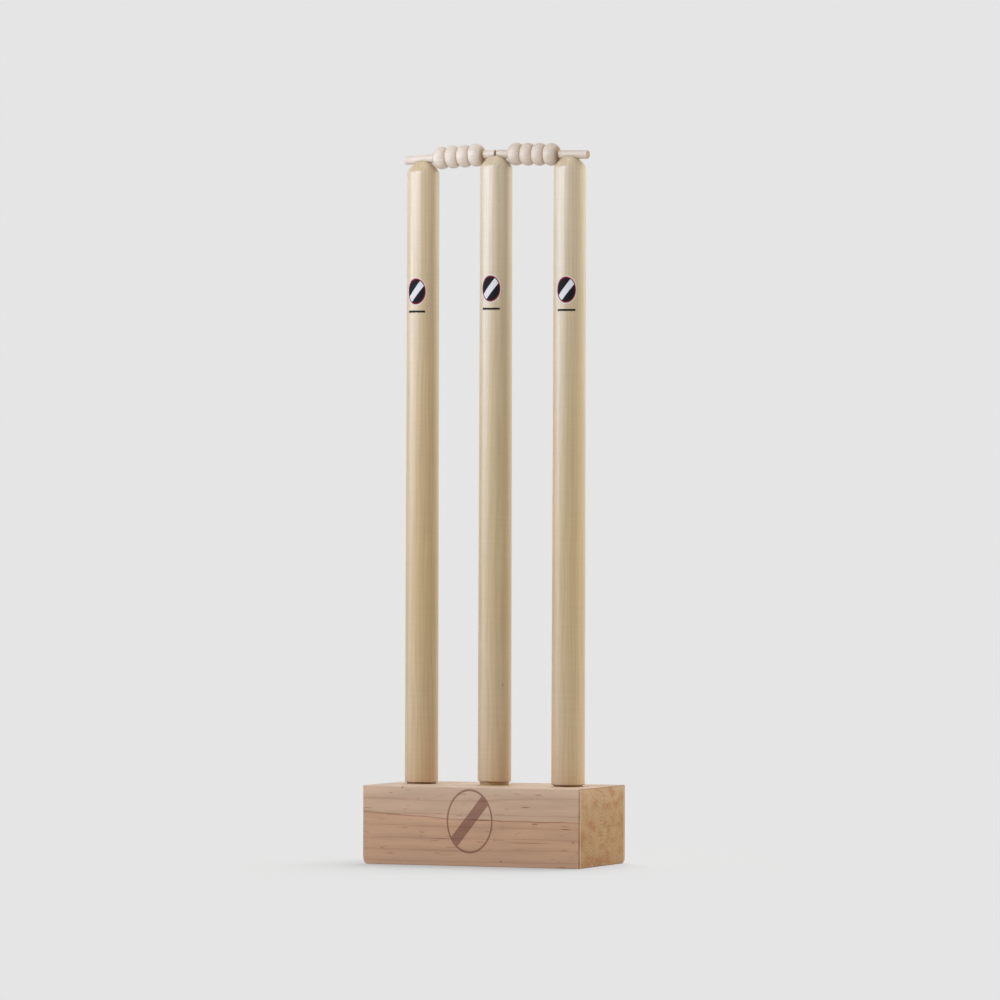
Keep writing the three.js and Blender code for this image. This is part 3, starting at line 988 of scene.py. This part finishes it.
# %% Planed and oiled hardwood
def planed_hardwood(name):
    material, tree, wood = new_material(name)
    coordinates = add(tree, "ShaderNodeTexCoord")
    place = coordinates.outputs["Object"]
    axes = add(tree, SEPARATE_XYZ, {0: place}).outputs
    facing = add(tree, SEPARATE_XYZ, {0: coordinates.outputs["Normal"]}).outputs
    colour, fibre = grown_hardwood(tree, place, axes)

    # Painted top light: the top face is paler in patches, and every side a little paler near the top
    upward = add(tree, MAP_RANGE, {"Value": facing["Z"], "From Min": 0.3, "From Max": 0.9}, **smooth)
    top_light_patches = streaks(tree, place, 22 * MM, (0.4, 1, 1), 0.4, 1.0)
    near_top = add(
        tree, MAP_RANGE, {"Value": axes["Z"], "From Min": 68 * MM, "From Max": base_top, "To Max": 0.3}
    )
    lit = add(tree, MATH, {0: upward, 1: top_light_patches}, operation="MULTIPLY")
    painted_top_light = add(tree, MATH, {0: lit, 1: near_top}, operation="MAXIMUM")
    top_light_tint = (1.22, 1.42, 1.58)
    pale = add(tree, VECTOR_MATH, {0: colour, 1: top_light_tint}, operation="MULTIPLY")
    colour = add(tree, MIX, {0: painted_top_light, 6: colour, 7: pale}, **lay_over)

    # The ends are yellower, with finer arcs and orange patches where the oil soaked in
    share_up = add(tree, MAP_RANGE, {"Value": axes["Z"], "From Max": base_top})
    end_tones = [(0, "#a88253"), (0.4, "#ae8b5d"), (0.7, "#ae8c60"), (1, "#bf9f7c")]
    end_tone = ramp(tree, share_up, end_tones)
    fine_ring = rings_about(
        tree, place, block_pith, width=4.6 * MM, bend=2.4 * MM, bend_width=14 * MM, stretch=(0.06, 1, 1)
    )
    fine_tones = [(0, "#c8bba9"), (0.3, "#ffffff"), (0.75, "#ffffff"), (1, "#dcd3c6")]
    fine_tone = ramp(tree, fine_ring, fine_tones, "B_SPLINE")
    clear = streaks(tree, place, 7 * MM, (0.3, 1, 0.7), -0.1, 0.9)
    end_tone = add(tree, MIX, {0: clear, 6: end_tone, 7: fine_tone}, **deepen)
    soaked = streaks(tree, place, 13 * MM, (0.3, 0.5, 1), -0.7, 1.15, detail=4)
    end_tone = add(tree, MIX, {0: soaked, 6: end_tone, 7: linear("#ebc99f")}, **deepen)
    end_tone = add(tree, VECTOR_MATH, {0: end_tone, "Scale": fibre}, operation="SCALE")
    side_depth, edge_depth = edge_depths(tree, place)
    sanded = within(tree, side_depth, 4.2 * MM, 1.2 * MM, 2.0 * MM)
    end_tone = add(tree, MIX, {0: sanded, 6: end_tone, 7: linear("#bd9c79")}, **lay_over)
    endward = add(tree, MATH, {0: facing["X"]}, operation="ABSOLUTE")
    at_end = add(tree, MAP_RANGE, {"Value": endward, "From Min": 0.6, "From Max": 0.95}, **smooth)
    colour = add(tree, MIX, {0: at_end, 6: colour, 7: end_tone}, **lay_over)

    # Flecks, the burnt mark, and painted shade along the ends' edges and round the socket mouths
    burn = burnt_mark(tree, place, facing)
    # Painted shade along the edges of the ends, where the eased corners turn from the light
    edge_shade = within(tree, edge_depth, 0.0, 0.7 * MM, 0.8 * MM)
    # Painted shade round each socket's mouth, where the stump goes in
    socket_shade = within(tree, socket_reach(tree, axes), 0.0, 0.6 * MM, 0.8 * MM)
    for share, tint in (
        (fleck_share(tree, place), "#c9a795"),
        (burn, "#b99f92"),
        (edge_shade, "#b7a193"),
        (socket_shade, "#8a7060"),
    ):
        colour = add(tree, MIX, {0: share, 6: colour, 7: linear(tint)}, **deepen)

    sunk = add(tree, MATH, {0: burn, 1: -1.0, 2: fibre}, operation="MULTIPLY_ADD")
    bump = add(tree, "ShaderNodeBump", {"Strength": 0.35, "Distance": 0.2 * MM, "Height": sunk})
    link(tree, wood, {"Base Color": colour, "Roughness": 0.62, "IOR": 1.5, "Normal": bump})
    return material


# %% [markdown]
# ## The block
# The block is a box whose edges aren't all alike: one lower edge at the left end and the lower edge at
# the back are well rounded, and the rest are only broken with sandpaper. Each eased edge is bevelled on
# its own, and a bevel that is taller than it is wide is made by squeezing the box, bevelling, and
# stretching it back.


# %% Shape the block
def ease_edges(block, chosen, across, up, steps):
    squeeze = across / up
    for vertex in block.verts:
        vertex.co.z *= squeeze
    bmesh.ops.bevel(
        block, geom=chosen, offset=across, offset_type="OFFSET", segments=steps, profile=0.5, affect="EDGES"
    )
    for vertex in block.verts:
        vertex.co.z /= squeeze


def edge_nearest(block, point):
    """The edge whose middle is nearest to a point."""
    return min(block.edges, key=lambda edge: ((edge.verts[0].co + edge.verts[1].co) / 2 - point).length)


block = bmesh.new()
bmesh.ops.create_cube(block, size=1)
for vertex in block.verts:
    vertex.co = Vector(
        (vertex.co[i] + 0.5) * (base_high[i] - base_low[i]) + base_low[i] for i in range(3)
    )
left_foot = Vector((base_low.x, 0, 0))
back_foot = Vector((0, base_high.y, 0))
foot_steps = 8
arris = 0.9 * MM
arris_steps = 3
sharp_turn = math.radians(50)
ease_edges(block, [edge_nearest(block, left_foot)], across=4.8 * MM, up=8.9 * MM, steps=foot_steps)
ease_edges(block, [edge_nearest(block, back_foot)], across=8 * MM, up=5.3 * MM, steps=foot_steps)
sharp = [edge for edge in block.edges if edge.calc_face_angle(0) > sharp_turn]
ease_edges(block, sharp, across=arris, up=arris, steps=arris_steps)
billet_mesh = bpy.data.meshes.new("billet")
block.to_mesh(billet_mesh)
block.free()
print("billet faces:", len(billet_mesh.polygons))

# %% [markdown]
# ## The sockets
# Three flat-bottomed holes are bored in a row, so one cutter is repeated on the points of a line and
# taken out of the block. The middle hole is a little shallower, which is why the middle stump stands
# proud.


# %% Bore the sockets
def boring_tree():
    overrun = 5 * MM
    socket_sides = 96
    sizes = ["Pitch", "Block Top", "Radius", "Depth", "Middle Rise"]
    tree, given = new_tree("bored_block", sizes=sizes, finishes=["Finish"])
    start_x = add(tree, MATH, {0: given["Pitch"], 1: -1.0}, operation="MULTIPLY")
    start = add(tree, COMBINE_XYZ, {"X": start_x, "Z": given["Block Top"]})
    stride = add(tree, COMBINE_XYZ, {"X": given["Pitch"]})
    row = {"Count": 3, "Start Location": start, "Offset": stride}
    line = add(tree, "GeometryNodeMeshLine", row, mode="OFFSET")
    index = add(tree, "GeometryNodeInputIndex")
    is_middle = add(tree, MATH, {0: index, 1: 1.0, 2: 0.1}, operation="COMPARE")
    rise = add(tree, MATH, {0: is_middle, 1: given["Middle Rise"]}, operation="MULTIPLY")
    lift = add(tree, COMBINE_XYZ, {"Z": rise})
    places = add(tree, "GeometryNodeSetPosition", {"Geometry": line, "Offset": lift})
    length = add(tree, MATH, {0: given["Depth"], 1: overrun}, operation="ADD")
    cutter_size = {"Vertices": socket_sides, "Radius": given["Radius"], "Depth": length}
    cutter = add(tree, "GeometryNodeMeshCylinder", cutter_size)
    half_length = add(tree, MATH, {0: length, 1: 0.5}, operation="MULTIPLY")
    middle_z = add(tree, MATH, {0: half_length, 1: given["Depth"]}, operation="SUBTRACT")
    down = add(tree, COMBINE_XYZ, {"Z": middle_z})
    sunk = add(tree, "GeometryNodeTransform", {"Geometry": cutter, "Translation": down})
    cutters = add(tree, "GeometryNodeInstanceOnPoints", {"Points": places, "Instance": sunk})
    real = add(tree, "GeometryNodeRealizeInstances", {0: cutters})
    cut = {"operation": "DIFFERENCE", "solver": "EXACT"}
    bored = add(tree, "GeometryNodeMeshBoolean", {"Mesh 1": given["Geometry"], "Mesh 2": real}, **cut)
    finished = add(tree, "GeometryNodeSetMaterial", {"Geometry": bored, "Material": given["Finish"]})
    end_tree(tree, finished)
    return tree


billet = bpy.data.objects.new("billet", billet_mesh)
bpy.context.scene.collection.objects.link(billet)
bored_block = shape_from(
    billet,
    boring_tree(),
    {
        "Pitch": stump_pitch,
        "Block Top": base_top,
        "Radius": tenon_radius + socket_clearance,
        "Depth": socket_depth,
        "Middle Rise": middle_stump_rise,
        "Finish": planed_hardwood("planed_hardwood"),
    },
)
# Only the small faces, of the eased edges and the socket walls, are shaded smooth
flat_area = 5e-4
for face in bored_block.polygons:
    face.use_smooth = face.area < flat_area
timber_block = finish_piece("timber_block", bored_block, "base_block", "base")
shading_block.objects.link(timber_block)
